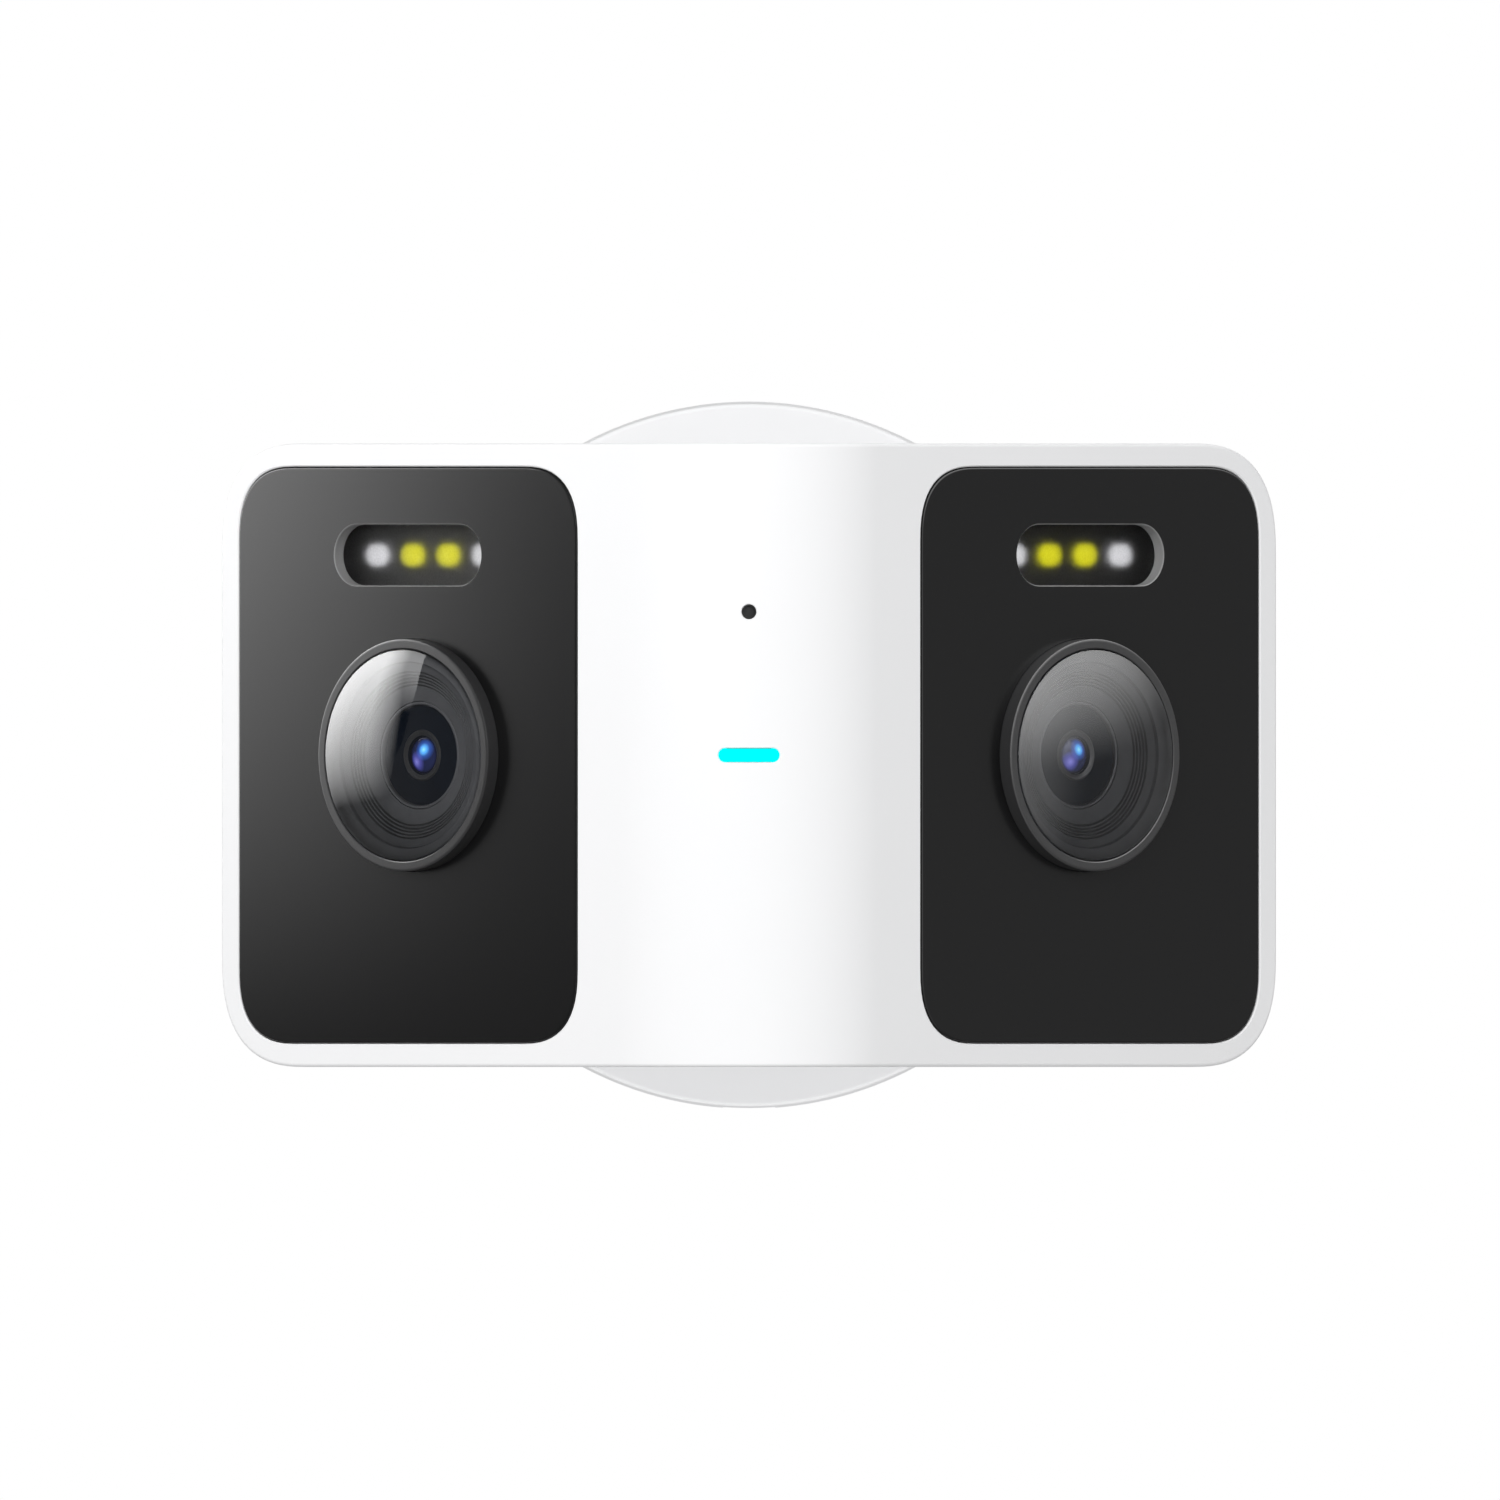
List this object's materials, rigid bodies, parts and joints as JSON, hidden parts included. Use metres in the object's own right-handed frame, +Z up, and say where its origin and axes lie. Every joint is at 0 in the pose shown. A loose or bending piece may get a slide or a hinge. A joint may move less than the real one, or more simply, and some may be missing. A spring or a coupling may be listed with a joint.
{
  "type": "wall-mounted floodlight security camera",
  "caption": "Two-winged wall camera with dual wide lenses, LED lamp windows and a status light, on a tilting and swivelling arm with a round mains base.",
  "frame": {"origin": "centre of the base's back face, on the wall", "axes": "+Y into the wall, +Z up, +X to the right when looking at the wall; the head faces -Y"},
  "size_m": [0.1694, 0.124, 0.1133],
  "materials": {
    "white_shell": "fine matte grain",
    "white_metal": "powder coat",
    "black_panel": "satin gloss",
    "ring_black": "satin",
    "dome_glass": "coated, clear",
    "baffle_black": "matte, grooved",
    "barrel_black": "satin",
    "coated_glass": "blue-violet coated",
    "holder_black": "matte",
    "smoked_window": "frosted, smoked",
    "white_led": "yellow phosphor",
    "infrared_led": "grey-white lens",
    "sensor_package": "dark clear package",
    "status_light": "lit light pipe",
    "boot_rubber": "matte",
    "speaker_black": "matte",
    "sink_aluminium": "brushed",
    "green_board": "solder mask",
    "black_board": "black solder mask",
    "antenna_board": "solder mask",
    "ribbon_film": "polyimide film",
    "card_black": "fine matte",
    "door_plastic": "fine matte grain",
    "button_plastic": "matte",
    "zinc_steel": "zinc plated",
    "screw_steel": "stainless",
    "spring_steel": "bright",
    "brass": "plated brass",
    "foam_rubber": "closed-cell foam",
    "seal_rubber": "moulded",
    "terminal_nylon": "moulded nylon",
    "transformer_tape": "polyester tape",
    "capacitor_sleeve": "shrink sleeve",
    "bush_acetal": "acetal",
    "washer_black": "friction polymer"
  },
  "bodies": {
    "base": {"wall_bracket": "zinc_steel", "wall_gasket": "foam_rubber", "base_cover": "white_shell", "cover_screws": "screw_steel", "terminal_block": "terminal_nylon", "terminal_screws": "brass", "earth_screw": "brass", "power_board": "green_board", "transformer": "transformer_tape", "capacitors": "capacitor_sleeve", "power_screws": "screw_steel", "swivel_bush": "bush_acetal"},
    "arm": {"arm": "white_shell", "swivel_nut": "zinc_steel", "wave_washer": "spring_steel", "arm_seal": "seal_rubber"},
    "camera": {"front_shell": "white_shell", "rear_shell": "white_shell", "shell_gasket": "seal_rubber", "shell_screws": "screw_steel", "tilt_bracket": "white_metal", "bracket_screws": "screw_steel", "tilt_bolt": "screw_steel", "tilt_nut": "screw_steel", "bolt_caps": "white_shell", "friction_washers": "washer_black", "face_panel_l": "black_panel", "face_panel_r": "black_panel", "panel_tapes": "foam_rubber", "lens_ring_l": "ring_black", "lens_ring_r": "ring_black", "lens_dome_l": "dome_glass", "lens_dome_r": "dome_glass", "lens_baffle_l": "baffle_black", "lens_baffle_r": "baffle_black", "lens_barrel_l": "barrel_black", "lens_barrel_r": "barrel_black", "front_element_l": "coated_glass", "front_element_r": "coated_glass", "lens_holders": "holder_black", "sensor_boards": "green_board", "led_window_l": "smoked_window", "led_window_r": "smoked_window", "led_board_l": "black_board", "led_board_r": "black_board", "white_leds": "white_led", "infrared_leds": "infrared_led", "light_sensor": "sensor_package", "light_pipe": "status_light", "status_board": "green_board", "microphone": "boot_rubber", "speaker": "speaker_black", "heat_sink": "sink_aluminium", "main_board": "green_board", "card_socket": "spring_steel", "antennas": "antenna_board", "ribbon_cables": "ribbon_film"},
    "memory_card": {"memory_card": "card_black"},
    "card_door": {"card_door": "door_plastic"},
    "reset_button": {"reset_button": "button_plastic"}
  },
  "joints": [
    {"name": "arm_swivel", "type": "hinge", "parent": "base", "child": "arm", "pos_m": [0, -0.022, 0], "axis": [0, -1, 0], "range_deg": [-90, 90]},
    {"name": "camera_tilt", "type": "hinge", "parent": "arm", "child": "camera", "pos_m": [0, -0.062, 0], "axis": [1, 0, 0], "range_deg": [-20, 35]},
    {"name": "card_door_hinge", "type": "hinge", "parent": "camera", "child": "card_door", "pos_m": [-0.04274, -0.06946, -0.0488], "axis": [0.7314, -0.682, 0], "range_deg": [0, 90]},
    {"name": "card_push", "type": "slide", "parent": "camera", "child": "memory_card", "axis": [0, 0, 1], "range_m": [0, 0.0008], "stiffness_N_per_m": 500},
    {"name": "reset_press", "type": "slide", "parent": "camera", "child": "reset_button", "axis": [0, 0, 1], "range_m": [0, 0.0008], "stiffness_N_per_m": 1000}
  ]
}
